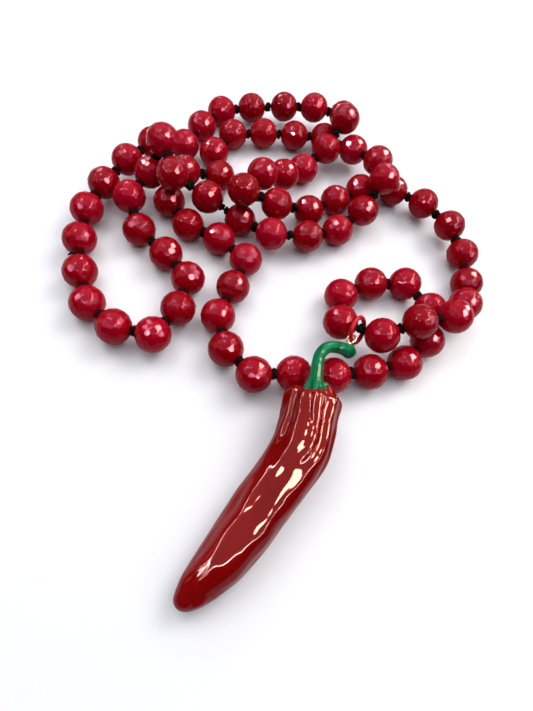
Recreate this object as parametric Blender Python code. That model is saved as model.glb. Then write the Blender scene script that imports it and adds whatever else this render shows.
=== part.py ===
"""A long knotted bead necklace lying in loose loops, with a chilli pepper pendant on a jump ring.

The strand is one closed loop of faceted beads with a thread knot after every bead. The jump ring
goes round the knot between the first and the last bead. The pendant hangs from it by a small eye.
"""

import math

import bmesh
import bpy
import numpy as np
from mathutils import Matrix, Vector

MM = 0.001
TOUCH_GAP = 0.3

# Driving dimensions, in millimetres.
BEAD_COUNT = 77
BEAD_RADIUS = 5.0
KNOT_RADIUS = 1.35
RING_KNOT_RADIUS = 1.15
KNOT_SIDES = 5
BEAD_SPIN_STEP = math.radians(47.0)

NEAREST_BEADS = 11.0
FARTHEST_BEADS = 12.2
CLEAR_BEADS = 10.4
SETTLE_STEPS = 300

RING_RADIUS = 3.6
RING_WIRE = 0.6
RING_OFFSET = Vector((-1.0, -1.0, 0.4))
RING_NORMAL = Vector((0.82, -0.32, 0.47)).normalized()

EYE_HOLE = 0.92
EYE_WIRE = 0.33
SHANK_RADIUS = 0.42

FRUIT_RINGS = 16
FRUIT_SIDES = 16
LOBE_DEPTH = 0.035
STEM_RINGS = 13
STEM_SIDES = 8

# The strand's route: bead number, then that bead's centre x, y, z.
ROUTE = [
    (0, 22, -7, 8), (1, 22, 5, 5), (3, 39, 14, 5), (4, 48, 8, 5), (6, 42, -13, 5),
    (10, 2, -27, 6), (12, -11, -14, 5), (14, -11, 8, 5), (17, -37, 22, 6), (18, -36, 33, 9),
    (19, -26, 39, 5), (20, -31, 49, 5), (21, -27, 60, 5), (24, 5, 68, 6), (26, 24, 58, 11),
    (29, 16, 29, 5), (31, -4, 19, 7), (32, -15, 22, 5), (34, -37, 24, 15), (35, -43, 33, 18),
    (36, -46, 29, 10), (37, -49, 18, 8), (38, -43, 9, 5), (40, -24, -4, 5), (42, -28, -24, 6),
    (44, -47, -20, 5), (47, -60, 11, 6), (50, -50, 43, 8), (51, -41, 49, 5), (53, -34, 70, 5),
    (57, 7, 79, 9), (60, 0, 52, 5), (62, -11, 36, 13), (63, -15, 26, 15), (65, 6, 34, 5),
    (68, 32, 53, 5), (70, 52, 41, 7), (72, 59, 21, 5), (74, 53, 2, 11), (76, 34, -9, 10),
]

# The pepper's centre line from shoulder to tip: x, y, z, radius.
FRUIT_LINE = [
    (18.8, -33.8, 11.0, 7.4), (18.5, -37.5, 10.3, 7.1), (18.5, -41.5, 9.5, 7.1),
    (17.9, -47.1, 8.4, 7.2), (15.1, -54.5, 7.1, 7.0), (11.9, -61.5, 6.7, 6.8),
    (9.3, -68.0, 6.5, 6.5), (6.3, -74.3, 5.9, 5.9), (3.2, -79.6, 5.1, 4.8),
    (0.6, -84.1, 4.5, 3.0), (-1.2, -85.7, 4.2, 1.0),
]

# The crown of the pepper, outwards from the shoulder: distance along the line, radius, share of
# the way to the stem's root. Its rim stands proud at both sides and dips where the stem leaves.
CROWN = [(0.7, 6.3, 0.15), (1.2, 5.2, 0.4), (1.4, 4.0, 0.75), (1.2, 2.9, 1.0)]
CROWN_HUMP = 0.7
STEM_ROOT_OFFSET = Vector((-0.4, 0.0, 2.2))

# The stem's centre line from the calyx to the drooping bulb that holds the eye: x, y, z, radius.
STEM_LINE = [
    (17.8, -31.3, 13.2, 2.7), (17.7, -30.0, 13.4, 2.2), (17.6, -28.6, 13.6, 1.8),
    (17.3, -25.3, 14.0, 1.5), (17.5, -21.9, 13.5, 1.5), (19.1, -19.1, 13.0, 1.5),
    (21.8, -17.7, 12.0, 1.5), (24.3, -16.9, 10.6, 1.6), (25.7, -16.4, 9.6, 1.75),
    (25.8, -15.0, 9.4, 1.3),
]


def clear_scene():
    for item in list(bpy.data.objects):
        bpy.data.objects.remove(item, do_unlink=True)


def new_collection(name):
    group = bpy.data.collections.new(name)
    bpy.context.scene.collection.children.link(group)
    return group


def new_material(name, colour, roughness, metallic=0.0):
    material = bpy.data.materials.new(name)
    material.use_nodes = True
    shader = material.node_tree.nodes["Principled BSDF"]
    shader.inputs["Base Color"].default_value = (*colour, 1.0)
    shader.inputs["Roughness"].default_value = roughness
    shader.inputs["Metallic"].default_value = metallic
    return material


def new_object(name, form, group, material, smooth=False):
    """Make an object from a bmesh form whose sizes are in millimetres."""
    bmesh.ops.scale(form, vec=(MM, MM, MM), verts=form.verts)
    mesh = bpy.data.meshes.new(name)
    form.to_mesh(mesh)
    form.free()
    mesh.materials.append(material)
    if smooth:
        mesh.shade_smooth()
    item = bpy.data.objects.new(name, mesh)
    group.objects.link(item)
    return item


def place(item, point, parent):
    item.parent = parent
    item.location = point * MM


def new_empty(name, point, group, parent=None):
    empty = bpy.data.objects.new(name, None)
    empty.empty_display_size = 5 * MM
    group.objects.link(empty)
    empty.parent = parent
    empty.location = point * MM
    return empty


# ---- The strand ----

def curve_through(stations, values, wanted):
    """Smooth curve through values at uneven stations, read at each wanted station."""
    stations = np.array(stations, float)
    values = np.array(values, float)
    slopes = np.gradient(values, axis=0) / np.gradient(stations)[:, None]
    read = []
    for at in wanted:
        k = min(np.searchsorted(stations, at, side="right") - 1, len(stations) - 2)
        span = stations[k + 1] - stations[k]
        u = (at - stations[k]) / span
        read.append(
            (2 * u**3 - 3 * u**2 + 1) * values[k] + (u**3 - 2 * u**2 + u) * span * slopes[k]
            + (3 * u**2 - 2 * u**3) * values[k + 1] + (u**3 - u**2) * span * slopes[k + 1])
    return np.array(read)


def settle(route):
    """Space the beads along the thread, keep crossing beads apart and lay them on the table."""
    beads = route.copy()
    first, second = np.triu_indices(len(beads), 2)
    for _ in range(SETTLE_STEPS):
        beads += (route - beads) * 0.02
        step = beads[1:] - beads[:-1]
        length = np.linalg.norm(step, axis=1)
        stretch = 1.0 - np.clip(length, NEAREST_BEADS, FARTHEST_BEADS) / length
        pull = step * stretch[:, None] * 0.3
        beads[:-1] += pull
        beads[1:] -= pull
        apart = beads[second] - beads[first]
        distance = np.linalg.norm(apart, axis=1)
        close = distance < CLEAR_BEADS
        push = apart[close] * (CLEAR_BEADS / distance[close] - 1.0)[:, None] * 0.4
        np.add.at(beads, first[close], -push)
        np.add.at(beads, second[close], push)
        beads[:, 2] = np.maximum(beads[:, 2], BEAD_RADIUS)
    return [Vector(bead) for bead in beads]


def bead_centres():
    stations = [row[0] for row in ROUTE]
    points = [row[1:] for row in ROUTE]
    return settle(curve_through(stations, points, range(BEAD_COUNT)))


def add_bead(form, centre, number):
    turn = Matrix.Translation(centre) @ Matrix.Rotation(number * BEAD_SPIN_STEP, 4, "Z")
    bmesh.ops.create_icosphere(form, subdivisions=2, radius=BEAD_RADIUS, matrix=turn)


def add_knot(form, start, end, radius):
    """A squat six-sided plug of thread from start to end."""
    along = end - start
    frame = Matrix.Translation((start + end) / 2) @ along.to_track_quat("Z", "Y").to_matrix().to_4x4()
    bmesh.ops.create_cone(
        form, cap_ends=True, segments=KNOT_SIDES, radius1=radius, radius2=radius,
        depth=along.length, matrix=frame)


def knot_span(this_bead, next_bead, joined):
    """A knot starts inside its own bead; it enters the next one, or stops just short of it."""
    along = (next_bead - this_bead).normalized()
    start = this_bead + along * (BEAD_RADIUS - 0.6)
    reach = BEAD_RADIUS - 0.6 if joined else BEAD_RADIUS + TOUCH_GAP
    return start, next_bead - along * reach


def make_beads(centres, materials, parts, helpers, parent):
    """Two beads and their two knots to a node; the last bead is alone, with the ring's knot."""
    for first in range(0, BEAD_COUNT, 2):
        members = [n for n in (first, first + 1) if n < BEAD_COUNT]
        origin = centres[first]
        beads = bmesh.new()
        knots = bmesh.new()
        for n in members:
            after = (n + 1) % BEAD_COUNT
            add_bead(beads, centres[n] - origin, n)
            start, end = knot_span(centres[n], centres[after], joined=after in members)
            radius = RING_KNOT_RADIUS if after == 0 else KNOT_RADIUS
            add_knot(knots, start - origin, end - origin, radius)
        label = "_".join(f"{n + 1:02d}" for n in members)
        item = new_object("beads_" + label, beads, parts, materials["bead"])
        place(item, origin, parent)
        lump = new_object("knots_" + label, knots, helpers, materials["thread"])
        place(lump, origin, parent)
        lump.display_type = "WIRE"
        lump.hide_render = True
        join = item.modifiers.new("knots", "BOOLEAN")
        join.operation = "UNION"
        join.solver = "EXACT"
        join.material_mode = "TRANSFER"
        join.object = lump


# ---- The pendant ----

def add_loft(form, sections):
    """Skin a row of closed sections, each a list of points, and close both ends."""
    loops = [[form.verts.new(point) for point in section] for section in sections]
    for near, far in zip(loops, loops[1:]):
        for k in range(len(near)):
            after = (k + 1) % len(near)
            form.faces.new((near[k], near[after], far[after], far[k]))
    form.faces.new(loops[0][::-1])
    form.faces.new(loops[-1])
    bmesh.ops.recalc_face_normals(form, faces=form.faces)


def section(centre, along, radius, sides, lobes=0.0, twist=0.0, hump=0.0):
    """A round section across the line, with soft lobes and humped sides if asked."""
    side = along.cross(Vector((0, 0, 1))).normalized()
    up = side.cross(along).normalized()
    points = []
    for k in range(sides):
        angle = 2 * math.pi * k / sides
        reach = radius * (1 + lobes * math.cos(3 * angle + twist))
        across = side * math.cos(angle) + up * math.sin(angle)
        points.append(centre + across * reach - along * hump * math.cos(2 * angle))
    return points


def line_sections(line, count, sides, lobes=0.0):
    """Sections at even steps along a centre line given as x, y, z, radius."""
    stations = range(len(line))
    rows = curve_through(stations, line, np.linspace(0, len(line) - 1, count))
    centres = [Vector(row[:3]) for row in rows]
    result = []
    for k, row in enumerate(rows):
        along = centres[min(k + 1, count - 1)] - centres[max(k - 1, 0)]
        twist = 0.12 * k
        result.append(section(centres[k], along.normalized(), row[3], sides, lobes, twist))
    return result


def make_fruit(materials, parts, pivot, parent):
    shoulder = Vector(FRUIT_LINE[0][:3])
    outwards = (shoulder - Vector(FRUIT_LINE[1][:3])).normalized()
    crown = []
    for along, radius, share in CROWN:
        centre = shoulder + outwards * along + STEM_ROOT_OFFSET * share
        hump = CROWN_HUMP * 4 * share * (1 - share)
        crown.append(section(centre, -outwards, radius, FRUIT_SIDES, LOBE_DEPTH, hump=hump))
    sections = crown[::-1] + line_sections(FRUIT_LINE, FRUIT_RINGS, FRUIT_SIDES, LOBE_DEPTH)
    form = bmesh.new()
    add_loft(form, [[point - pivot for point in points] for points in sections])
    place(new_object("chilli", form, parts, materials["pepper"], smooth=True), Vector(), parent)


def make_stem(materials, parts, pivot, parent):
    sections = line_sections(STEM_LINE, STEM_RINGS, STEM_SIDES)
    form = bmesh.new()
    add_loft(form, [[point - pivot for point in points] for points in sections])
    place(new_object("stem", form, parts, materials["stem"], smooth=True), Vector(), parent)


def add_torus(name, major, wire, major_sides, wire_sides, parts, material):
    bpy.ops.mesh.primitive_torus_add(
        major_radius=major * MM, minor_radius=wire * MM,
        major_segments=major_sides, minor_segments=wire_sides)
    item = bpy.context.object
    item.name = name
    item.data.materials.append(material)
    item.data.shade_smooth()
    for group in list(item.users_collection):
        group.objects.unlink(item)
    parts.objects.link(item)
    return item


def make_ring(materials, parts, centre, pivot, parent):
    ring = add_torus("jump_ring", RING_RADIUS, RING_WIRE, 20, 6, parts, materials["enamel"])
    ring.rotation_euler = RING_NORMAL.to_track_quat("Z", "Y").to_euler()
    place(ring, centre - pivot, parent)


def make_eye(materials, parts, helpers, centre, pivot, parent):
    """The eye encircles the ring's wire at the side of the ring that faces the stem."""
    outwards = RING_NORMAL.cross(Vector((0, 0, 1))).normalized()
    along_wire = RING_NORMAL.cross(outwards)
    eye_centre = centre + outwards * RING_RADIUS
    eye = add_torus("eye", EYE_HOLE + EYE_WIRE, EYE_WIRE, 12, 6, parts, materials["metal"])
    eye.rotation_euler = along_wire.to_track_quat("Z", "Y").to_euler()
    place(eye, eye_centre - pivot, parent)

    bulb = Vector(STEM_LINE[-1][:3])
    towards = (bulb - eye_centre).normalized()
    start = eye_centre + towards * (EYE_HOLE + EYE_WIRE)
    end = bulb - towards * TOUCH_GAP
    shank = bmesh.new()
    frame = Matrix.Translation((start + end) / 2 - eye_centre)
    frame = frame @ towards.to_track_quat("Z", "Y").to_matrix().to_4x4()
    bmesh.ops.create_cone(
        shank, cap_ends=True, segments=8, radius1=SHANK_RADIUS, radius2=SHANK_RADIUS,
        depth=(end - start).length, matrix=frame)
    post = new_object("eye_shank", shank, helpers, materials["metal"])
    place(post, eye_centre - pivot, parent)
    post.display_type = "WIRE"
    post.hide_render = True
    join = eye.modifiers.new("shank", "BOOLEAN")
    join.operation = "UNION"
    join.solver = "EXACT"
    join.object = post


def main():
    clear_scene()
    parts = new_collection("chilli_necklace")
    helpers = new_collection("union_helpers")
    materials = {
        "bead": new_material("bead_crimson", (0.35, 0.004, 0.02), 0.25),
        "thread": new_material("thread_black", (0.01, 0.01, 0.012), 0.8),
        "pepper": new_material("pepper_red", (0.5, 0.01, 0.01), 0.08),
        "stem": new_material("stem_green", (0.09, 0.16, 0.03), 0.2),
        "metal": new_material("pale_metal", (0.75, 0.72, 0.62), 0.3, 1.0),
        "enamel": new_material("ring_red_enamel", (0.45, 0.01, 0.02), 0.2),
    }
    necklace = new_empty("necklace", Vector(), parts)
    centres = bead_centres()
    make_beads(centres, materials, parts, helpers, necklace)

    pivot = (centres[0] + centres[-1]) / 2
    ring_centre = pivot + RING_OFFSET
    pendant = new_empty("pendant_pivot", pivot, parts, necklace)
    make_fruit(materials, parts, pivot, pendant)
    make_stem(materials, parts, pivot, pendant)
    make_ring(materials, parts, ring_centre, pivot, pendant)
    make_eye(materials, parts, helpers, ring_centre, pivot, pendant)


main()
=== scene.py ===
import math
import random

import bmesh
import bpy
import numpy as np
from mathutils import Matrix, Vector, noise


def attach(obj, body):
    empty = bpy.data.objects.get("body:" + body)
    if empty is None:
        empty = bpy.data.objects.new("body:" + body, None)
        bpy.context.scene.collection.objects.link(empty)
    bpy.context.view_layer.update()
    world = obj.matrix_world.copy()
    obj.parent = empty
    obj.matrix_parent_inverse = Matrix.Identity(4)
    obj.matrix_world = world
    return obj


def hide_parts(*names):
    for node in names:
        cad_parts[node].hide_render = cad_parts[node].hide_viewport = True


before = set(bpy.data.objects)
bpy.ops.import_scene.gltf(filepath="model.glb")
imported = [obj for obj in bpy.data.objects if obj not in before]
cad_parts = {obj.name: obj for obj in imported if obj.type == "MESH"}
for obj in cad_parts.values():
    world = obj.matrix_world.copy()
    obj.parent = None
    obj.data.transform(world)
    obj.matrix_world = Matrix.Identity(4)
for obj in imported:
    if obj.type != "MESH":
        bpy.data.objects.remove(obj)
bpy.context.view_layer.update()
mm = 0.001

strandNodes = [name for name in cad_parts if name.startswith("beads_")]


def newObject(name, form, smooth=True):
    # form is in millimetres, the object in metres
    bmesh.ops.scale(form, vec=(mm, mm, mm), verts=form.verts)
    mesh = bpy.data.meshes.new(name)
    form.to_mesh(mesh)
    form.free()
    if smooth:
        mesh.shade_smooth()
    item = bpy.data.objects.new(name, mesh)
    bpy.context.scene.collection.objects.link(item)
    return item


def finishPiece(item, material, body, slot, *replaced):
    # one material, the body that carries the piece, and the nodes that it stands for
    item.data.materials.clear()
    item.data.materials.append(material)
    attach(item, body)
    if replaced:
        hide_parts(*replaced)
    return item


def curveThrough(stations, values, wanted):
    # cubic curve through values at uneven stations
    stations = np.array(stations, float)
    values = np.array(values, float)
    slopes = np.gradient(values, axis=0) / np.gradient(stations)[:, None]
    read = []
    for at in wanted:
        k = min(np.searchsorted(stations, at, side="right") - 1, len(stations) - 2)
        span = stations[k + 1] - stations[k]
        u = (at - stations[k]) / span
        read.append(
            (2 * u**3 - 3 * u**2 + 1) * values[k] + (u**3 - 2 * u**2 + u) * span * slopes[k]
            + (3 * u**2 - 2 * u**3) * values[k + 1] + (u**3 - u**2) * span * slopes[k + 1])
    return np.array(read)


def fineRows(line, rings):
    # a line of x, y, z, radius, read at even steps of its stations
    return curveThrough(range(len(line)), line, np.linspace(0, len(line) - 1, rings))


def addLoft(form, sections):
    # a skin over a row of closed sections, with both ends filled
    loops = [[form.verts.new(point) for point in section] for section in sections]
    for near, far in zip(loops, loops[1:]):
        for k in range(len(near)):
            after = (k + 1) % len(near)
            form.faces.new((near[k], near[after], far[after], far[k]))
    form.faces.new(loops[0][::-1])
    form.faces.new(loops[-1])
    bmesh.ops.recalc_face_normals(form, faces=form.faces)


def addTube(form, points, radii, sides=12):
    # round tube along points, its sections turned as little as possible from one to the next
    points = [Vector(point) for point in points]
    along = (points[1] - points[0]).normalized()
    side = along.orthogonal().normalized()
    sections = []
    for k, point in enumerate(points):
        ahead = points[min(k + 1, len(points) - 1)] - points[max(k - 1, 0)]
        ahead.normalize()
        side = (side - ahead * side.dot(ahead)).normalized()
        up = ahead.cross(side)
        radius = radii[k] if hasattr(radii, "__len__") else radii
        sections.append([
            point + (side * math.cos(a) + up * math.sin(a)) * radius
            for a in (2 * math.pi * n / sides for n in range(sides))])
    addLoft(form, sections)


def addTaperedTube(form, line, rings, sides=12):
    rows = fineRows(line, rings)
    addTube(form, [row[:3] for row in rows], [row[3] for row in rows], sides)


cameraView = {
    "place": (4.1, -84.5, 124.5),
    "right": (0.9675, 0.2238, 0.1175),
    "up": (-0.2528, 0.8566, 0.4497),
    "lens": 24.87,
    "sensor": 36.0,
    "clip": (0.005, 20.0),
}


def makeCamera():
    right = Vector(cameraView["right"]).normalized()
    up = Vector(cameraView["up"])
    up = (up - right * up.dot(right)).normalized()
    back = right.cross(up)
    data = bpy.data.cameras.new("camera")
    data.lens = cameraView["lens"]
    data.sensor_width = cameraView["sensor"]
    data.clip_start, data.clip_end = cameraView["clip"]
    camera = bpy.data.objects.new("camera", data)
    turn = Matrix((right, up, back)).transposed().to_4x4()
    camera.matrix_world = Matrix.Translation(Vector(cameraView["place"]) * mm) @ turn
    bpy.context.scene.collection.objects.link(camera)
    bpy.context.scene.camera = camera


makeCamera()
print("camera made")


strand = {
    "beadCount": 77,
    "beadRadius": 5.0,
    "nearest": 11.0,        # least and greatest distance from one bead's centre to the next
    "farthest": 12.2,
    "clear": 10.4,          # least distance between the centres of beads that cross
    "settleSteps": 300,
    "routePull": 0.02,      # how strongly a step draws the beads to the route
    "threadPull": 0.3,      # to their spacing on the thread
    "crossingPush": 0.4,    # and out of each other
    "threadDiameter": 0.75,
    "threadRounding": 3,
    "boreReach": 0.7,       # share of the bead's radius over which the thread runs straight
    "ringKnotReach": 0.6,   # the thread starts and ends this far from the ring's knot
    # bead number, then that bead's centre x, y, z in millimetres
    "route": [
        (0, 22, -7, 8), (1, 22, 5, 5), (3, 39, 14, 5), (4, 48, 8, 5), (6, 42, -13, 5),
        (10, 2, -27, 6), (12, -11, -14, 5), (14, -11, 8, 5), (17, -37, 22, 6), (18, -36, 33, 9),
        (19, -26, 39, 5), (20, -31, 49, 5), (21, -27, 60, 5), (24, 5, 68, 6), (26, 24, 58, 11),
        (29, 16, 29, 5), (31, -4, 19, 7), (32, -15, 22, 5), (34, -37, 24, 15), (35, -43, 33, 18),
        (36, -46, 29, 10), (37, -49, 18, 8), (38, -43, 9, 5), (40, -24, -4, 5), (42, -28, -24, 6),
        (44, -47, -20, 5), (47, -60, 11, 6), (50, -50, 43, 8), (51, -41, 49, 5), (53, -34, 70, 5),
        (57, 7, 79, 9), (60, 0, 52, 5), (62, -11, 36, 13), (63, -15, 26, 15), (65, 6, 34, 5),
        (68, 32, 53, 5), (70, 52, 41, 7), (72, 59, 21, 5), (74, 53, 2, 11), (76, 34, -9, 10)],
}


def settle(route):
    # spaces the beads on the thread, keeps crossing beads apart and lays them on the table
    beads = route.copy()
    first, second = np.triu_indices(len(beads), 2)
    for _ in range(strand["settleSteps"]):
        beads += (route - beads) * strand["routePull"]
        step = beads[1:] - beads[:-1]
        length = np.linalg.norm(step, axis=1)
        stretch = 1.0 - np.clip(length, strand["nearest"], strand["farthest"]) / length
        pull = step * stretch[:, None] * strand["threadPull"]
        beads[:-1] += pull
        beads[1:] -= pull
        apart = beads[second] - beads[first]
        distance = np.linalg.norm(apart, axis=1)
        close = distance < strand["clear"]
        overlap = (strand["clear"] / distance[close] - 1.0)[:, None]
        push = apart[close] * overlap * strand["crossingPush"]
        np.add.at(beads, first[close], -push)
        np.add.at(beads, second[close], push)
        beads[:, 2] = np.maximum(beads[:, 2], strand["beadRadius"])
    return [Vector(bead) for bead in beads]


stations = [row[0] for row in strand["route"]]
routePoints = [row[1:] for row in strand["route"]]
beadCentres = settle(curveThrough(stations, routePoints, range(strand["beadCount"])))
ringKnot = (beadCentres[0] + beadCentres[-1]) / 2


def gapEnds(n):
    # the two bead centres on either side of the gap after bead n
    return beadCentres[n], beadCentres[(n + 1) % strand["beadCount"]]


def neighbours(n):
    # where the thread comes from and goes to at bead n: at either end, the ring's knot
    before = beadCentres[n - 1] if n else ringKnot
    after = beadCentres[n + 1] if n + 1 < strand["beadCount"] else ringKnot
    return before, after


def threadPath():
    # straight through every bead, bending in the gaps; it starts and ends at the ring's knot
    atKnot = strand["ringKnotReach"]
    reach = strand["beadRadius"] * strand["boreReach"]
    path = [ringKnot + (beadCentres[0] - ringKnot).normalized() * atKnot]
    for n, centre in enumerate(beadCentres):
        before, after = neighbours(n)
        along = (after - before).normalized()
        path += [centre - along * reach, centre, centre + along * reach]
    path.append(ringKnot + (beadCentres[-1] - ringKnot).normalized() * atKnot)
    return path


def makeThread():
    path = threadPath()
    curve = bpy.data.curves.new("thread", "CURVE")
    curve.dimensions = "3D"
    curve.bevel_depth = strand["threadDiameter"] / 2 * mm
    curve.bevel_resolution = strand["threadRounding"]
    curve.use_fill_caps = True
    line = curve.splines.new("POLY")
    line.points.add(len(path) - 1)
    for spot, point in zip(line.points, path):
        spot.co = (*(point * mm), 1.0)
    item = bpy.data.objects.new("thread", curve)
    bpy.context.scene.collection.objects.link(item)
    length = sum((b - a).length for a, b in zip(path, path[1:])) * mm
    return item, path[0] * mm, length


thread, threadStart, threadLength = makeThread()
print("thread laid, metres:", round(threadLength, 3))


def newMaterial(name, finish):
    # finish holds the shader's own sockets by name, and what the material's nodes need
    material = bpy.data.materials.new(name)
    material.use_nodes = True
    nodes = material.node_tree.nodes
    shader = nodes["Principled BSDF"]
    for socket, value in finish.items():
        if socket in shader.inputs:
            colour = shader.inputs[socket].type == "RGBA"
            shader.inputs[socket].default_value = (*value, 1.0) if colour else value
    return material, nodes, material.node_tree.links, shader


def objectNoise(nodes, links, scale, detail, stretch=(1, 1, 1)):
    # a noise on object coordinates, so that it stays on the piece
    place = nodes.new("ShaderNodeTexCoord")
    mapping = nodes.new("ShaderNodeMapping")
    mapping.inputs["Scale"].default_value = stretch
    texture = nodes.new("ShaderNodeTexNoise")
    texture.inputs["Scale"].default_value = scale
    texture.inputs["Detail"].default_value = detail
    links.new(place.outputs["Object"], mapping.inputs["Vector"])
    links.new(mapping.outputs["Vector"], texture.inputs["Vector"])
    return texture.outputs["Fac"]


def rampBetween(nodes, links, source, stops):
    ramp = nodes.new("ShaderNodeValToRGB")
    elements = ramp.color_ramp.elements
    while len(elements) < len(stops):
        elements.new(0.5)
    for element, (at, colour) in zip(elements, stops):
        element.position = at
        element.color = (*colour, 1.0)
    links.new(source, ramp.inputs["Fac"])
    return ramp.outputs["Color"]


def rangeOf(nodes, links, source, low, high):
    node = nodes.new("ShaderNodeMapRange")
    node.inputs["To Min"].default_value = low
    node.inputs["To Max"].default_value = high
    links.new(source, node.inputs["Value"])
    return node.outputs["Result"]


def addBump(nodes, links, shader, source, strength, distance):
    bump = nodes.new("ShaderNodeBump")
    bump.inputs["Strength"].default_value = strength
    bump.inputs["Distance"].default_value = distance
    links.new(source, bump.inputs["Height"])
    links.new(bump.outputs["Normal"], shader.inputs["Normal"])


beadFinish = {
    "IOR": 1.46,
    "Specular Tint": (1.0, 0.22, 0.46),
    "Coat Weight": 0.25,
    "Coat Roughness": 0.03,
    # colour from dark to bright, partly from bead to bead and partly as clouds in each bead
    "colours": [(0.15, (0.22, 0.0, 0.002)), (0.5, (0.30, 0.0, 0.005)), (0.85, (0.37, 0.001, 0.014))],
    "toneShare": 0.55,
    "cloudShare": 0.45,
    "clouds": (260.0, 4.0),         # scale and detail
    "polish": (900.0, 2.0),
    "roughness": (0.08, 0.17),
    "grain": (1500.0, 3.0),
    "grainBump": (0.05, 0.0001),    # strength and distance
}


def beadCrimson():
    material, nodes, links, shader = newMaterial("beadCrimson", beadFinish)
    clouds = objectNoise(nodes, links, *beadFinish["clouds"])
    tone = nodes.new("ShaderNodeAttribute")
    tone.attribute_name = "beadTone"
    mix = nodes.new("ShaderNodeMath")
    mix.operation = "MULTIPLY_ADD"
    mix.inputs[1].default_value = beadFinish["toneShare"]
    links.new(tone.outputs["Fac"], mix.inputs[0])
    part = nodes.new("ShaderNodeMath")
    part.operation = "MULTIPLY"
    part.inputs[1].default_value = beadFinish["cloudShare"]
    links.new(clouds, part.inputs[0])
    links.new(part.outputs["Value"], mix.inputs[2])
    colour = rampBetween(nodes, links, mix.outputs["Value"], beadFinish["colours"])
    links.new(colour, shader.inputs["Base Color"])
    polish = objectNoise(nodes, links, *beadFinish["polish"])
    links.new(rangeOf(nodes, links, polish, *beadFinish["roughness"]), shader.inputs["Roughness"])
    grain = objectNoise(nodes, links, *beadFinish["grain"])
    addBump(nodes, links, shader, grain, *beadFinish["grainBump"])
    return material


threadFinish = {
    "Roughness": 0.8,
    "Specular IOR Level": 0.04,
    "fibre": (2500.0, 6.0),
    "colours": [(0.35, (0.0015, 0.0015, 0.002)), (0.75, (0.008, 0.008, 0.009))],
    "bump": (0.6, 0.0002),
}
pepperFinish = {
    "Roughness": 0.05,
    "IOR": 1.6,
    "Specular Tint": (1.0, 0.38, 0.38),
    "Coat Weight": 0.28,
    "Coat Roughness": 0.012,
    "clouds": (90.0, 4.0, (1.0, 0.45, 1.0)),        # scale, detail and stretch
    "colours": [(0.3, (0.135, 0.0, 0.0)), (0.5, (0.18, 0.0, 0.0)), (0.72, (0.225, 0.002, 0.002))],
}
stemFinish = {
    "Roughness": 0.3,
    "Specular IOR Level": 0.12,
    "Specular Tint": (0.05, 1.0, 0.55),
    "Coat Weight": 0.22,
    "Coat Roughness": 0.025,
    "strokes": (600.0, 4.0, (1.0, 0.22, 1.0)),
    "colours": [
        (0.32, (0.0, 0.055, 0.018)), (0.5, (0.0, 0.135, 0.046)), (0.75, (0.0, 0.19, 0.07))],
    "bump": (0.25, 0.0002),
}
eyeFinish = {
    "Base Color": (0.85, 0.78, 0.58),
    "Metallic": 1.0,
    "wear": (1800.0, 3.0),
    "roughness": (0.12, 0.35),
}
ringFinish = {
    "Roughness": 0.3,
    "Specular IOR Level": 0.3,
    "Specular Tint": (1.0, 0.35, 0.35),
    "Coat Weight": 0.1,
    "Coat Roughness": 0.1,
    "wear": (1300.0, 4.0),
    "colours": [
        (0.3, (0.38, 0.002, 0.008)), (0.6, (0.52, 0.006, 0.016)), (0.8, (0.6, 0.02, 0.03))],
    "bump": (0.15, 0.0001),
}


def mottled(name, finish, pattern):
    # colours that follow one noise, which also lifts the surface where the finish has a bump
    material, nodes, links, shader = newMaterial(name, finish)
    texture = objectNoise(nodes, links, *finish[pattern])
    colour = rampBetween(nodes, links, texture, finish["colours"])
    links.new(colour, shader.inputs["Base Color"])
    if "bump" in finish:
        addBump(nodes, links, shader, texture, *finish["bump"])
    return material


def paleMetal():
    material, nodes, links, shader = newMaterial("paleMetal", eyeFinish)
    wear = objectNoise(nodes, links, *eyeFinish["wear"])
    links.new(rangeOf(nodes, links, wear, *eyeFinish["roughness"]), shader.inputs["Roughness"])
    return material


crimson = beadCrimson()
black = mottled("threadBlack", threadFinish, "fibre")
red = mottled("pepperRed", pepperFinish, "clouds")
green = mottled("stemGreen", stemFinish, "strokes")
metal = paleMetal()
enamel = mottled("ringEnamel", ringFinish, "wear")
print("materials made")


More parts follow.
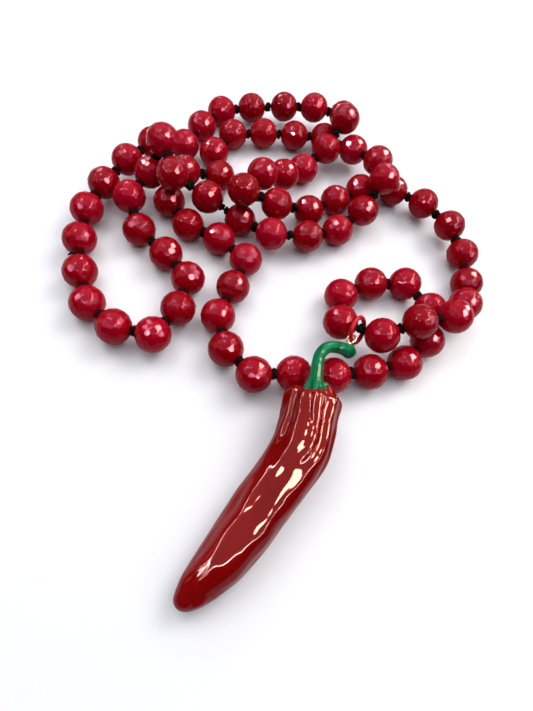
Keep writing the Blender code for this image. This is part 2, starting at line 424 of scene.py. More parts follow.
def strungTree():
    # sets one of several shapes on every point, its Z along the thread
    tree = bpy.data.node_groups.new("strungAlongThread", "GeometryNodeTree")
    face = tree.interface
    face.new_socket("Geometry", in_out="INPUT", socket_type="NodeSocketGeometry")
    face.new_socket("Shapes", in_out="INPUT", socket_type="NodeSocketCollection")
    face.new_socket("Material", in_out="INPUT", socket_type="NodeSocketMaterial")
    for label, value in (("Smallest", 1.0), ("Largest", 1.0), ("Tilt", 0.0)):
        face.new_socket(label, in_out="INPUT", socket_type="NodeSocketFloat").default_value = value
    face.new_socket("Seed", in_out="INPUT", socket_type="NodeSocketInt")
    face.new_socket("Geometry", in_out="OUTPUT", socket_type="NodeSocketGeometry")
    nodes, links = tree.nodes, tree.links

    def add(kind, **settings):
        node = nodes.new(kind)
        for key, value in settings.items():
            setattr(node, key, value)
        return node

    start = add("NodeGroupInput")
    end = add("NodeGroupOutput")
    shapes = add("GeometryNodeCollectionInfo")
    shapes.inputs["Separate Children"].default_value = True
    shapes.inputs["Reset Children"].default_value = True
    along = add("GeometryNodeInputNamedAttribute", data_type="FLOAT_VECTOR")
    along.inputs["Name"].default_value = "along"
    aim = add("FunctionNodeAlignRotationToVector", axis="Z")
    spin = add("FunctionNodeRandomValue", data_type="FLOAT_VECTOR")
    opposite = add("ShaderNodeMath", operation="MULTIPLY")
    opposite.inputs[1].default_value = -1.0
    spinLow = add("ShaderNodeCombineXYZ")
    spinLow.inputs["Z"].default_value = -math.pi
    spinHigh = add("ShaderNodeCombineXYZ")
    spinHigh.inputs["Z"].default_value = math.pi
    turn = add("FunctionNodeRotateRotation", rotation_space="LOCAL")
    toRotation = add("FunctionNodeEulerToRotation")
    size = add("FunctionNodeRandomValue", data_type="FLOAT")
    shape = add("GeometryNodeInputNamedAttribute", data_type="FLOAT_VECTOR")
    shape.inputs["Name"].default_value = "size"
    grow = add("ShaderNodeVectorMath", operation="SCALE")
    pick = add("FunctionNodeRandomValue", data_type="INT")
    pick.inputs["Min"].default_value = 0
    pick.inputs["Max"].default_value = 99       # wraps round the shapes that there are
    tone = add("FunctionNodeRandomValue", data_type="FLOAT")
    place = add("GeometryNodeInstanceOnPoints")
    place.inputs["Pick Instance"].default_value = True
    keep = add("GeometryNodeStoreNamedAttribute", data_type="FLOAT", domain="INSTANCE")
    keep.inputs["Name"].default_value = "beadTone"
    real = add("GeometryNodeRealizeInstances")
    dress = add("GeometryNodeSetMaterial")

    links.new(start.outputs["Shapes"], shapes.inputs["Collection"])
    links.new(along.outputs["Attribute"], aim.inputs["Vector"])
    links.new(start.outputs["Tilt"], spinHigh.inputs["X"])
    links.new(start.outputs["Tilt"], spinHigh.inputs["Y"])
    links.new(start.outputs["Tilt"], opposite.inputs[0])
    links.new(opposite.outputs["Value"], spinLow.inputs["X"])
    links.new(opposite.outputs["Value"], spinLow.inputs["Y"])
    links.new(spinLow.outputs["Vector"], spin.inputs["Min"])
    links.new(spinHigh.outputs["Vector"], spin.inputs["Max"])
    for node in (spin, size, pick, tone):
        links.new(start.outputs["Seed"], node.inputs["Seed"])
    links.new(spin.outputs["Value"], toRotation.inputs["Euler"])
    links.new(aim.outputs["Rotation"], turn.inputs["Rotation"])
    links.new(toRotation.outputs["Rotation"], turn.inputs["Rotate By"])
    links.new(start.outputs["Smallest"], size.inputs[2])
    links.new(start.outputs["Largest"], size.inputs[3])
    links.new(start.outputs["Geometry"], place.inputs["Points"])
    links.new(shapes.outputs["Instances"], place.inputs["Instance"])
    links.new(pick.outputs[2], place.inputs["Instance Index"])
    links.new(turn.outputs["Rotation"], place.inputs["Rotation"])
    links.new(shape.outputs["Attribute"], grow.inputs[0])
    links.new(size.outputs[1], grow.inputs["Scale"])
    links.new(grow.outputs["Vector"], place.inputs["Scale"])
    links.new(place.outputs["Instances"], keep.inputs["Geometry"])
    links.new(tone.outputs[1], keep.inputs["Value"])
    links.new(keep.outputs["Geometry"], real.inputs["Geometry"])
    links.new(real.outputs["Geometry"], dress.inputs["Geometry"])
    links.new(start.outputs["Material"], dress.inputs["Material"])
    links.new(dress.outputs["Geometry"], end.inputs["Geometry"])
    return tree


strung = strungTree()


def stringPieces(name, places, shapes, material, settings):
    # one plain mesh of the shapes, strung at places that each hold a point, a direction and a size
    form = bmesh.new()
    for point, along, size in places:
        form.verts.new(point)
    carrier = newObject(name + "Points", form, smooth=False)
    aims = carrier.data.attributes.new("along", "FLOAT_VECTOR", "POINT")
    sizes = carrier.data.attributes.new("size", "FLOAT_VECTOR", "POINT")
    for k, (point, along, size) in enumerate(places):
        aims.data[k].vector = along
        sizes.data[k].vector = size
    group = bpy.data.collections.new(name + "Shapes")
    for shape in shapes:
        for home in list(shape.users_collection):
            home.objects.unlink(shape)
        group.objects.link(shape)
    modifier = carrier.modifiers.new("strung", "NODES")
    modifier.node_group = strung
    values = {"Shapes": group, "Material": material, **settings}
    for socket in strung.interface.items_tree:
        if socket.item_type == "SOCKET" and socket.in_out == "INPUT" and socket.name in values:
            modifier[socket.identifier] = values[socket.name]
    graph = bpy.context.evaluated_depsgraph_get()
    mesh = bpy.data.meshes.new_from_object(carrier.evaluated_get(graph), depsgraph=graph)
    mesh.name = name
    carrier.modifiers.remove(modifier)
    bpy.data.objects.remove(carrier, do_unlink=True)
    for shape in shapes:
        bpy.data.objects.remove(shape, do_unlink=True)
    bpy.data.collections.remove(group)
    item = bpy.data.objects.new(name, mesh)
    bpy.context.scene.collection.objects.link(item)
    return item


beadSpec = {
    "shapes": 7,
    "rows": 9,
    "equatorFacets": 20,
    "cutDepth": 0.984,      # distance of a facet from the centre, as a share of the radius
    "depthJitter": 0.006,
    "aimJitter": 0.055,
    "edgeRound": 0.2,       # width over which a facet's edge is polished round
    "roundedFrom": 0.5,     # the smallest facet, in square millimetres, that gets one
    "seed": 31,
    "block": 2.4,           # side of the block that a bead is ground from, in radii
    "mergeWithin": 0.12,    # corners nearer to each other than this become one
    "strung": {"Smallest": 0.985, "Largest": 1.0, "Tilt": 0.06, "Seed": 5},
}


def facetDirections(chance):
    # rows of facets round the bore, each row shifted by half a facet from the last
    yield Vector((0, 0, 1))
    yield Vector((0, 0, -1))
    rows = beadSpec["rows"]
    for row in range(rows):
        tilt = math.pi * (row + 1) / (rows + 1)
        count = round(beadSpec["equatorFacets"] * math.sin(tilt))
        for n in range(count):
            turn = 2 * math.pi * (n + 0.5 * (row % 2)) / count
            turn += chance.uniform(-1, 1) * beadSpec["aimJitter"] / math.sin(tilt)
            lean = tilt + chance.uniform(-1, 1) * beadSpec["aimJitter"]
            yield Vector((
                math.sin(lean) * math.cos(turn), math.sin(lean) * math.sin(turn), math.cos(lean)))


def facetedBead(number):
    # a rough block ground to a sphere, facet by facet
    chance = random.Random(beadSpec["seed"] + number)
    radius = strand["beadRadius"]
    form = bmesh.new()
    bmesh.ops.create_cube(form, size=radius * beadSpec["block"])
    for direction in facetDirections(chance):
        depth = radius * (beadSpec["cutDepth"] + chance.uniform(-1, 1) * beadSpec["depthJitter"])
        cut = bmesh.ops.bisect_plane(
            form, geom=form.verts[:] + form.edges[:] + form.faces[:], dist=1e-6,
            plane_co=direction * depth, plane_no=direction, clear_outer=True)
        rim = [part for part in cut["geom_cut"] if isinstance(part, bmesh.types.BMEdge)]
        if rim:
            bmesh.ops.edgeloop_fill(form, edges=rim)
    bmesh.ops.remove_doubles(form, verts=form.verts, dist=beadSpec["mergeWithin"])
    large = [face for face in form.faces if face.calc_area() > beadSpec["roundedFrom"]]
    bmesh.ops.inset_individual(
        form, faces=large, thickness=beadSpec["edgeRound"], use_even_offset=True)
    bmesh.ops.recalc_face_normals(form, faces=form.faces)
    return newObject(f"beadShape{number}", form)


def beadAlong(n):
    before, after = neighbours(n)
    return (after - before).normalized()


beadPlaces = [(centre, beadAlong(n), (1, 1, 1)) for n, centre in enumerate(beadCentres)]
beadShapes = [facetedBead(n) for n in range(beadSpec["shapes"])]
beads = stringPieces("beads", beadPlaces, beadShapes, crimson, beadSpec["strung"])
finishPiece(beads, crimson, "strand", "bead", *strandNodes)
print("beads made, faces:", len(beads.data.polygons))


knotSpec = {
    "shapes": 5,
    "loopRadius": 0.66,         # all sizes in millimetres
    "loopWave": 0.38,
    "strandRadius": 0.5,
    "coreRadius": 0.95,
    "coreFlat": 0.75,
    "steps": 60,
    "sides": 10,
    "doubleAt": 32,         # the gap that holds two knots in a row
    "doubleShift": 0.85,
    "doubleSize": (0.95, 0.95, 0.85),
    "ringKnotScale": (1.02, 1.2),
    "thickness": 1.2,
    "length": (0.95, 1.45),     # least and greatest stretch along the thread
    "gapFilled": 1.45,          # a gap this many mm wide takes an unstretched knot
    "unevenness": 0.15,
    "seed": 12,
    "strung": {"Smallest": 0.9, "Largest": 1.04, "Tilt": 0.22, "Seed": 9},
    "tailAt": 45,           # the gap whose knot has a loose end
    # the loose end, from the knot: x, y, z, radius in millimetres
    "tail": [(0, 0, 0, 0.4), (-1.2, -0.2, 0.5, 0.38), (-2.2, -0.5, 0.4, 0.36),
             (-3.1, -1.0, -0.1, 0.22)],
    "tailRings": 14,
}


def overhandKnot(number):
    # the thread wound three times round and twice through, drawn tight over itself
    chance = random.Random(knotSpec["seed"] + number)
    squash = chance.uniform(1 - knotSpec["unevenness"], 1 + knotSpec["unevenness"])
    points = []
    for k in range(knotSpec["steps"]):
        t = 2 * math.pi * k / knotSpec["steps"]
        radius = knotSpec["loopRadius"] + knotSpec["loopWave"] * math.cos(3 * t)
        points.append(Vector((
            radius * math.cos(2 * t), radius * math.sin(2 * t) * squash,
            knotSpec["loopWave"] * math.sin(3 * t))))
    form = bmesh.new()
    count, sides, thick = len(points), knotSpec["sides"], knotSpec["strandRadius"]
    loops = []
    for k, point in enumerate(points):
        ahead = (points[(k + 1) % count] - points[k - 1]).normalized()
        side = ahead.cross(Vector((0, 0, 1))).normalized()
        up = side.cross(ahead)
        loops.append([
            form.verts.new(point + (side * math.cos(a) + up * math.sin(a)) * thick)
            for a in (2 * math.pi * n / sides for n in range(sides))])
    for k in range(count):
        near, far = loops[k], loops[(k + 1) % count]
        for n in range(sides):
            after = (n + 1) % sides
            form.faces.new((near[n], near[after], far[after], far[n]))
    core = bmesh.ops.create_icosphere(form, subdivisions=2, radius=knotSpec["coreRadius"])["verts"]
    bmesh.ops.scale(form, vec=(1, 1, knotSpec["coreFlat"]), verts=core)
    bmesh.ops.recalc_face_normals(form, faces=form.faces)
    return newObject(f"knotShape{number}", form)


def knotPlaces():
    # one knot in each gap, stretched along the thread where the gap is wide
    for n in range(strand["beadCount"]):
        here, there = gapEnds(n)
        along = (there - here).normalized()
        gap = (there - here).length - 2 * strand["beadRadius"]
        middle = (here + there) / 2
        shortest, longest = knotSpec["length"]
        reach = min(longest, max(shortest, gap / knotSpec["gapFilled"]))
        if n == knotSpec["doubleAt"]:
            for shift in (-knotSpec["doubleShift"], knotSpec["doubleShift"]):
                yield middle + along * shift, along, knotSpec["doubleSize"]
        elif n == strand["beadCount"] - 1:
            yield middle, along, (*knotSpec["ringKnotScale"], reach)
        else:
            yield middle, along, (knotSpec["thickness"], knotSpec["thickness"], reach)


def looseEnd():
    here, there = gapEnds(knotSpec["tailAt"])
    x, y, z = (here + there) / 2
    form = bmesh.new()
    addTaperedTube(form, [
        (x + dx, y + dy, z + dz, radius) for dx, dy, dz, radius in knotSpec["tail"]],
        knotSpec["tailRings"])
    return newObject("threadTail", form)


knotShapes = [overhandKnot(n) for n in range(knotSpec["shapes"])]
knots = stringPieces("knots", list(knotPlaces()), knotShapes, black, knotSpec["strung"])
finishPiece(knots, black, "strand", "thread")
finishPiece(thread, black, "strand", "thread")
tail = finishPiece(looseEnd(), black, "strand", "thread")
tuple(threadStart)
print("knots tied")


pepper = {
    # centre line from shoulder to tip: x, y, z, radius
    "line": [
        (18.45, -33.8, 11.0, 7.1), (18.4, -37.5, 10.3, 7.05), (18.5, -41.5, 9.5, 7.1),
        (17.9, -47.1, 8.4, 7.2), (15.1, -54.5, 7.1, 7.0), (11.9, -61.5, 6.7, 6.8),
        (9.3, -68.0, 6.5, 6.5), (6.3, -74.3, 5.9, 5.9), (3.2, -79.6, 5.1, 4.8),
        (1.5, -82.4, 4.75, 3.95), (0.2, -84.3, 4.5, 2.95), (-0.6, -85.3, 4.4, 2.1),
        (-1.1, -85.9, 4.3, 1.2), (-1.3, -86.15, 4.3, 0.3)],
    # crown, outwards from the shoulder: distance, radius, share of the way to the stem's foot
    "crown": [(0.7, 6.3, 0.15), (1.2, 5.2, 0.4), (1.4, 4.0, 0.75), (1.2, 2.9, 1.0)],
    "crownHump": 0.7,
    # bumps on the crown's rim: angle, share, height in mm, width in degrees
    "rimBumps": [(148, 0.85, 2.0, 22), (38, 0.9, -0.9, 24)],
    "bumpReach": 0.35,
    "footOffset": (-0.4, 0.0, 2.2),
    "rings": 220,
    "sides": 160,
    "lobe": 0.035,
    "lobeTwist": 0.18,      # radians from one station of the line to the next
    "boxy": 0.025,          # how far the section leans from round to square
    "boxyBetween": (-1.0, 3.0),
    # lengthwise folds round the upper half: how many, height in mm, where the first ridge stands
    "folds": 10.5,
    "foldHeight": 0.32,
    "foldTurn": 97.0,
    "foldFade": (2.4, 4.2),
    "foldWander": 0.175,
    "foldWanderSize": (1.5, 0.5),
    "foldRadius": 7.0,      # where the pepper is thinner than this, its folds are lower
    "crownFold": 0.45,
    # soft dents and ripples: height in mm, how often they come round the pepper and along it
    "dentHeight": 0.4,
    "dentSize": (1.4, 0.75),
    "fineDent": 0.5,
    "fineDentSize": 2.1,
    "fineDentShift": (3.1, 0.0, 7.7),
    "rippleHeight": 0.3,
    "rippleSize": (2.8, 0.45, 4.0),
    "dentRadius": 5.0,      # thinner than this, the pepper loses its dents too
    "crownCalm": 0.25,      # what is left of them at the crown
    "crownCalmBetween": (-1.0, 2.0),
    "undersideCalm": 0.35,  # and at the sides and below
    "undersideCalmBetween": (0.0, 0.7),
}


def sectionFrame(along):
    side = along.cross(Vector((0, 0, 1))).normalized()
    return side, side.cross(along).normalized()


def easeBetween(value, low, high):
    u = min(1.0, max(0.0, (value - low) / (high - low)))
    return u * u * (3 - 2 * u)


def onPepper(angle, station, around, lengthwise, shift=0.0):
    # where to read a noise that has no seam round the pepper
    return Vector((
        math.cos(angle) * around, math.sin(angle) * around, station * lengthwise + shift))


def riseFrom(low, value, between):
    # from low to 1 as the value passes between two numbers
    return low + (1 - low) * easeBetween(value, *between)


def foldHeightAt(station):
    if station < 0:
        change = pepper["foldHeight"] - pepper["crownFold"]
        return pepper["crownFold"] + change * max(0.0, station + 1)
    return pepper["foldHeight"] * (1 - easeBetween(station, *pepper["foldFade"]))


def pepperRelief(station, angle, radius):
    # millimetres added to the radius: folds that fade past the shoulder, and soft dents
    wander = noise.noise(onPepper(angle, station, *pepper["foldWanderSize"]))
    turn = angle - math.radians(pepper["foldTurn"]) + wander * pepper["foldWander"]
    folds = foldHeightAt(station) * math.cos(pepper["folds"] * turn)
    spot = onPepper(angle, station, *pepper["dentSize"])
    fine = noise.noise(spot * pepper["fineDentSize"] + Vector(pepper["fineDentShift"]))
    dents = noise.noise(spot) + fine * pepper["fineDent"]
    ripple = noise.noise(onPepper(angle, station, *pepper["rippleSize"]))
    uneven = dents * pepper["dentHeight"] + ripple * pepper["rippleHeight"]
    uneven *= riseFrom(pepper["undersideCalm"], math.sin(angle), pepper["undersideCalmBetween"])
    uneven *= riseFrom(pepper["crownCalm"], station, pepper["crownCalmBetween"])
    uneven *= min(1.0, (radius / pepper["dentRadius"]) ** 2)
    return folds * radius / pepper["foldRadius"] + uneven


def rimBump(share, angle):
    # millimetres that the crown's rim stands up or dips at one place
    total = 0.0
    for at, bumpShare, height, width in pepper["rimBumps"]:
        around = math.degrees(math.remainder(angle - math.radians(at), 2 * math.pi)) / width
        inwards = (share - bumpShare) / pepper["bumpReach"]
        total += height * math.exp(-around * around - inwards * inwards)
    return total


def pepperRows():
    # from the crown to the tip: centre, radius, direction, hump and share of the crown
    line = pepper["line"]
    shoulder = Vector(line[0][:3])
    outwards = (shoulder - Vector(line[1][:3])).normalized()
    offset = Vector(pepper["footOffset"])
    rows = []
    for along, radius, share in reversed(pepper["crown"]):
        centre = shoulder + outwards * along + offset * share
        hump = pepper["crownHump"] * 4 * share * (1 - share)
        rows.append((*centre, radius, *-outwards, hump, share))
    for k, (x, y, z, radius) in enumerate(line):
        ahead = Vector(line[min(k + 1, len(line) - 1)][:3]) - Vector(line[max(k - 1, 0)][:3])
        rows.append((x, y, z, radius, *ahead.normalized(), 0.0, 0.0))
    return rows


def pepperSection(station, row):
    # one closed ring of points; stations below 0 are on the crown
    centre, radius, along = Vector(row[:3]), row[3], Vector(row[4:7]).normalized()
    hump, share = row[7:]
    side, up = sectionFrame(along)
    twist = pepper["lobeTwist"] * max(0.0, station)
    boxy = pepper["boxy"] * easeBetween(station, *pepper["boxyBetween"])
    section = []
    for n in range(pepper["sides"]):
        angle = 2 * math.pi * n / pepper["sides"]
        lobes = pepper["lobe"] * math.cos(3 * angle + twist) + boxy * (1 - math.cos(4 * angle))
        reach = radius * (1 + lobes) + pepperRelief(station, angle, radius)
        rise = hump * math.cos(2 * angle)
        if station < 0:
            rise += rimBump(share, angle)
        across = side * math.cos(angle) + up * math.sin(angle)
        section.append(centre + across * reach - along * rise)
    return section


def makePepper():
    rows = pepperRows()
    stations = np.linspace(0, len(rows) - 1, pepper["rings"])
    fine = curveThrough(range(len(rows)), rows, stations)
    form = bmesh.new()
    addLoft(form, [
        pepperSection(station - len(pepper["crown"]), row) for station, row in zip(stations, fine)])
    return newObject("pepper", form)


pepperPiece = finishPiece(makePepper(), red, "pendant", "pepper", "chilli")
lowest = min(v.co.z for v in pepperPiece.data.vertices)
print("pepper made, lowest mm:", round(lowest / mm, 2))


stem = {
    # centre line from the calyx to the drooping end: x, y, z, radius
    "line": [
        (17.9, -32.5, 12.9, 2.7), (17.8, -31.2, 13.2, 2.6), (17.6, -29.2, 13.5, 1.9),
        (17.3, -25.3, 14.0, 1.6), (17.5, -21.9, 13.5, 1.55), (19.1, -19.1, 13.0, 1.55),
        (21.8, -17.7, 12.0, 1.6), (24.3, -16.9, 10.6, 1.75), (25.7, -16.8, 9.5, 1.9),
        (26.4, -17.0, 8.9, 1.5)],
    # the short neck that the metal eye is set in
    "socket": [(25.7, -16.6, 9.7, 1.5), (25.75, -15.2, 9.5, 1.15), (25.75, -14.5, 9.45, 0.95)],
    # the calyx leaf that lies over the right of the rim
    "leaf": [(18.2, -30.9, 13.2, 1.5), (19.6, -30.5, 13.4, 1.15), (20.6, -30.2, 13.5, 0.85),
             (21.2, -30.0, 13.6, 0.5)],
    "rings": 90,
    "sides": 40,
    "ridges": 7,
    "ridgeDepth": 0.03,
    # the calyx: pointed leaves at the foot, flared over the crown's rim
    "leaves": 5,
    "leafDepth": 0.24,
    "leafTurn": 0.9,
    "leafReach": 0.2,       # share of the stem's length over which the leaves narrow
    "leafTaper": 1.5,
    "leafDroop": 0.35,
    "branchRings": 12,
    # how the neck and the leaf are melted into the stem: grid in mm, then smoothing
    "voxel": 0.15,
    "smoothing": 3,
    "softness": 0.5,
}


def makeStemBody(form):
    count = stem["rings"]
    rows = fineRows(stem["line"], count)
    centres = [Vector(row[:3]) for row in rows]
    sections = []
    for k, row in enumerate(rows):
        along = (centres[min(k + 1, count - 1)] - centres[max(k - 1, 0)]).normalized()
        side, up = sectionFrame(along)
        leaf = max(0.0, 1 - k / count / stem["leafReach"]) ** stem["leafTaper"]
        section = []
        for n in range(stem["sides"]):
            angle = 2 * math.pi * n / stem["sides"]
            point = math.cos(stem["leaves"] * (angle + stem["leafTurn"]))
            ridge = stem["ridgeDepth"] * math.cos(stem["ridges"] * angle)
            reach = row[3] * (1 + stem["leafDepth"] * leaf * point + ridge)
            across = side * math.cos(angle) + up * math.sin(angle)
            droop = stem["leafDroop"] * leaf * max(0.0, point)
            section.append(centres[k] + across * reach - along * droop)
        sections.append(section)
    addLoft(form, sections)


def meltTogether(item):
    # one skin over solids that overlap
    remesh = item.modifiers.new("blend", "REMESH")
    remesh.mode = "VOXEL"
    remesh.voxel_size = stem["voxel"] * mm
    soften = item.modifiers.new("soften", "SMOOTH")
    soften.factor = stem["softness"]
    soften.iterations = stem["smoothing"]
    graph = bpy.context.evaluated_depsgraph_get()
    mesh = bpy.data.meshes.new_from_object(item.evaluated_get(graph), depsgraph=graph)
    item.modifiers.clear()
    item.data = mesh
    mesh.shade_smooth()


def makeStem():
    form = bmesh.new()
    makeStemBody(form)
    addTaperedTube(form, stem["socket"], stem["branchRings"], stem["sides"])
    addTaperedTube(form, stem["leaf"], stem["branchRings"], stem["sides"])
    item = newObject("stemPiece", form)
    meltTogether(item)
    return item


finishPiece(makeStem(), green, "pendant", "stem", "stem")
print("stem made")


ring = {
    "offset": (-1.0, -1.0, 0.4),
    "normal": (0.82, -0.32, 0.47),
    "radius": 3.6,
    "wire": 0.64,
    "slit": 5.0,        # degrees left open at the join
    "joinAt": 200.0,
    "steps": 90,
    "sides": 18,
}
eye = {
    "hole": 0.92,
    "wire": 0.33,
    "foot": (25.75, -14.6, 9.45),
    "open": 18.0,       # degrees at which each end turns down to the foot
    "steps": 48,
}
ringNormal = Vector(ring["normal"]).normalized()
ringCentre = ringKnot + Vector(ring["offset"])
ringOut = ringNormal.cross(Vector((0, 0, 1))).normalized()
ringAlong = ringNormal.cross(ringOut)


def ringPoint(degrees):
    turn = math.radians(degrees)
    return ringCentre + (ringOut * math.cos(turn) + ringAlong * math.sin(turn)) * ring["radius"]


def makeRing():
    start = ring["joinAt"] + ring["slit"] / 2
    span = 360 - ring["slit"]
    steps = ring["steps"]
    points = [ringPoint(start + span * k / steps) for k in range(steps + 1)]
    form = bmesh.new()
    addTube(form, points, ring["wire"], ring["sides"])
    return newObject("ring", form)


def makeEye():
    centre = ringPoint(0)
    foot = Vector(eye["foot"])
    towards = (foot - centre).normalized()
    across = ringAlong.cross(towards).normalized()
    middle = eye["hole"] + eye["wire"]
    points = [foot]
    for k in range(eye["steps"] + 1):
        turn = math.radians(eye["open"] + (360 - 2 * eye["open"]) * k / eye["steps"])
        points.append(centre + (towards * math.cos(turn) + across * math.sin(turn)) * middle)
    points.append(foot)
    form = bmesh.new()
    addTube(form, points, eye["wire"])
    return newObject("eyePiece", form)


finishPiece(makeRing(), enamel, "pendant", "ring_enamel", "jump_ring")
finishPiece(makeEye(), metal, "pendant", "eye_metal", "eye")
print("ring and eye made")


studio = {
    "tableSize": 3.0,
    "tableColour": (0.765, 0.77, 0.785),
    "tableFinish": {"Roughness": 0.45, "Specular IOR Level": 0.25},
    # painted reflection: a darker, pinker table colour that only reflections show, in place of the
    # table's real white
    "tablePaintedReflection": (0.38, 0.26, 0.28),   # what the gloss mirrors of the table
    # the room: dim on the near side, brighter at the far left
    "roomAxis": (-0.05, 0.80, 0.50),
    "roomBetween": (0.05, 0.75),
    "roomDim": (0.03, 0.031, 0.04),
    "roomPale": (0.36, 0.38, 0.48),
    "roomGloss": (0.17, 0.085, 0.075),  # pale part, as the gloss mirrors it
    "backdrop": (0.48, 0.49, 0.52),     # what is seen past the table
    "ceilingHeight": 0.6,
    "ceiling": (-0.70, -0.36, 1.10, 1.15),      # left, near, right and far edge, in metres
    # one light for the table, one that only the gloss mirrors: how far above the trim,
    # brightness, colour
    "ceilingFill": (0.02, 1.3, (0.93, 0.96, 1.0)),
    "ceilingGlow": (0.01, 0.5, (1.0, 0.97, 0.97)),
    # the four strips of its trim: width and brightness of the left, right, near and far one
    "trim": [(0.02, 90.0), (0.028, 80.0), (0.010, 80.0), (0.012, 80.0)],
    "trimColour": (1.0, 0.98, 0.96),
    "dash": 0.012,              # the trim is a row of small lights this far apart
    "dashShare": 0.5,           # and this much of it is lit
    # soft keys that mirror nothing: place, size, power in watts
    "keys": [((0.42, 0.50, 0.75), 0.45, 3.9), ((-0.40, 0.25, 0.80), 0.45, 1.7)],
    "keyColour": (1.0, 0.955, 0.90),
    # warm lamps in the ceiling: x, y, width, length in metres
    "lamps": [
        (0.42, -0.17, 0.24, 0.12), (0.46, 0.03, 0.24, 0.20), (0.42, 0.28, 0.22, 0.18),
        (0.46, 0.62, 0.22, 0.2), (-0.25, 0.10, 0.16, 0.10)],
    "lampGlow": 42.0,
    "lampColour": (1.0, 0.80, 0.58),
    # a brown cupboard to the left, seen only in the gloss: place, aim, width, height, brightness
    "cupboard": ((-0.9, -0.05, 0.38), (0, -0.05, 0), 0.5, 0.16, 1.6),
    "cupboardColour": (1.0, 0.42, 0.22),
}


def makeTable():
    form = bmesh.new()
    bmesh.ops.create_grid(form, x_segments=1, y_segments=1, size=studio["tableSize"] / 2 / mm)
    table = newObject("table", form, smooth=False)
    material, nodes, links, shader = newMaterial("tableWhite", studio["tableFinish"])
    # painted reflection: glossy rays see the table darker and pinker than the camera and diffuse
    # light see it
    rays = nodes.new("ShaderNodeLightPath")
    mix = nodes.new("ShaderNodeMix")
    mix.data_type = "RGBA"
    mix.inputs["A"].default_value = (*studio["tableColour"], 1.0)
    mix.inputs["B"].default_value = (*studio["tablePaintedReflection"], 1.0)
    links.new(rays.outputs["Is Glossy Ray"], mix.inputs["Factor"])
    links.new(mix.outputs["Result"], shader.inputs["Base Color"])
    table.data.materials.append(material)


def makeLight(name, place, target, size, sizeY, glow, colour, shape="RECTANGLE"):
    # glow is the light's brightness per area, so that its size can change alone
    data = bpy.data.lights.new(name, "AREA")
    data.shape = shape
    data.size = size
    data.size_y = sizeY
    area = size * sizeY * (math.pi / 4 if shape == "ELLIPSE" else 1.0)
    data.energy = glow * math.pi * area
    data.color = colour
    light = bpy.data.objects.new(name, data)
    light.location = place
    aim = Vector(target) - Vector(place)
    if aim.xy.length > 1e-6:        # a light right above its target faces it already
        light.rotation_euler = aim.to_track_quat("-Z", "Y").to_euler()
    light.visible_camera = False
    bpy.context.scene.collection.objects.link(light)
    return light


def mixByRay(nodes, links, ray, others, matching):
    # one shader for one kind of ray, and another for all others
    mix = nodes.new("ShaderNodeMixShader")
    links.new(ray, mix.inputs["Fac"])
    links.new(others.outputs[0], mix.inputs[1])
    links.new(matching.outputs[0], mix.inputs[2])
    return mix


def makeRoom():
    world = bpy.data.worlds.new("room")
    world.use_nodes = True
    nodes, links = world.node_tree.nodes, world.node_tree.links
    direction = nodes.new("ShaderNodeTexCoord")
    facing = nodes.new("ShaderNodeVectorMath")
    facing.operation = "DOT_PRODUCT"
    facing.inputs[1].default_value = Vector(studio["roomAxis"]).normalized()
    links.new(direction.outputs["Generated"], facing.inputs[0])
    room = nodes["Background"]
    gloss = nodes.new("ShaderNodeBackground")
    low, high = studio["roomBetween"]
    for surface, pale in ((room, studio["roomPale"]), (gloss, studio["roomGloss"])):
        colour = rampBetween(nodes, links, facing.outputs["Value"], [
            (low, studio["roomDim"]), (high, pale)])
        links.new(colour, surface.inputs["Color"])
    backdrop = nodes.new("ShaderNodeBackground")
    backdrop.inputs["Color"].default_value = (*studio["backdrop"], 1.0)
    rays = nodes.new("ShaderNodeLightPath")
    lit = mixByRay(nodes, links, rays.outputs["Is Glossy Ray"], room, gloss)
    seen = mixByRay(nodes, links, rays.outputs["Is Camera Ray"], lit, backdrop)
    links.new(seen.outputs["Shader"], nodes["World Output"].inputs["Surface"])
    bpy.context.scene.world = world


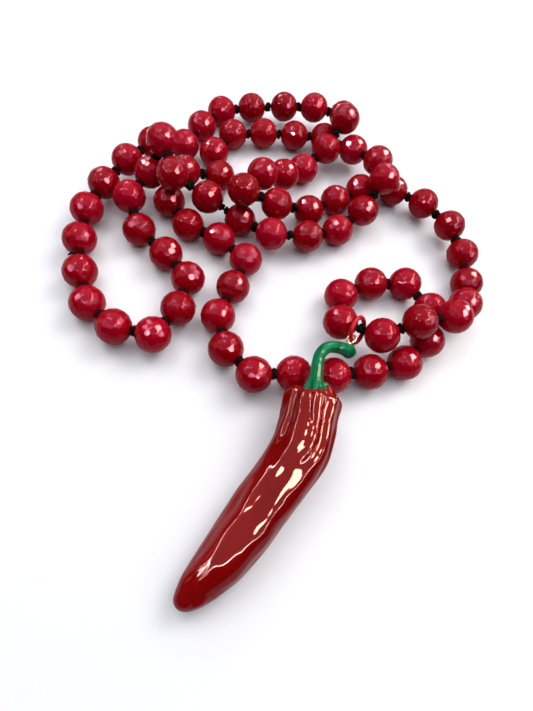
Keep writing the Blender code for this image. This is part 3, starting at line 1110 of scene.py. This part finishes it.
def makeDashes(light, axis):
    # breaks a strip light into a row of small ones along X or Y
    data = light.data
    data.use_nodes = True
    nodes, links = data.node_tree.nodes, data.node_tree.links
    spot = nodes.new("ShaderNodeNewGeometry")
    parts = nodes.new("ShaderNodeSeparateXYZ")
    links.new(spot.outputs["Position"], parts.inputs["Vector"])
    value = parts.outputs[axis]
    steps = [("MULTIPLY", 1 / studio["dash"]), ("FRACT", 0.0), ("LESS_THAN", studio["dashShare"])]
    for operation, number in steps:
        step = nodes.new("ShaderNodeMath")
        step.operation = operation
        step.inputs[1].default_value = number
        links.new(value, step.inputs[0])
        value = step.outputs["Value"]
    links.new(value, nodes["Emission"].inputs["Strength"])


def makeCeiling():
    left, near, right, far = studio["ceiling"]
    height = studio["ceilingHeight"]
    middle = ((left + right) / 2, (near + far) / 2)
    wide, deep = right - left, far - near
    above, bright, colour = studio["ceilingFill"]
    fill = makeLight("ceilingFill", (*middle, height + above), (*middle, 0), wide, deep,
                     bright, colour)
    fill.visible_glossy = False
    above, bright, colour = studio["ceilingGlow"]
    mirrored = [makeLight("ceilingGlow", (*middle, height + above), (*middle, 0), wide, deep,
                          bright, colour)]
    sides = [
        ("trimLeft", left, middle[1], None, deep), ("trimRight", right, middle[1], None, deep),
        ("trimNear", middle[0], near, wide, None), ("trimFar", middle[0], far, wide, None)]
    for (name, x, y, across, along), (thick, bright) in zip(sides, studio["trim"]):
        strip = makeLight(name, (x, y, height), (x, y, 0), across or thick, along or thick,
                          bright / studio["dashShare"], studio["trimColour"])
        makeDashes(strip, "X" if across else "Y")
        mirrored.append(strip)
    for k, (x, y, across, along) in enumerate(studio["lamps"]):
        mirrored.append(makeLight(f"lamp{k}", (x, y, height), (x, y, 0), across, along,
                                  studio["lampGlow"], studio["lampColour"], "ELLIPSE"))
    mirrored.append(makeLight("cupboard", *studio["cupboard"], studio["cupboardColour"]))
    for light in mirrored:
        light.visible_diffuse = False


def makeStudio():
    makeTable()
    makeRoom()
    makeCeiling()
    for k, (place, size, power) in enumerate(studio["keys"]):
        glow = power / (math.pi * size * size)
        key = makeLight(f"key{k}", place, (0, 0, 0), size, size, glow, studio["keyColour"])
        key.visible_glossy = False
    view = bpy.context.scene.view_settings
    view.view_transform = "Standard"
    view.exposure = 0.0


makeStudio()
print("studio lit")
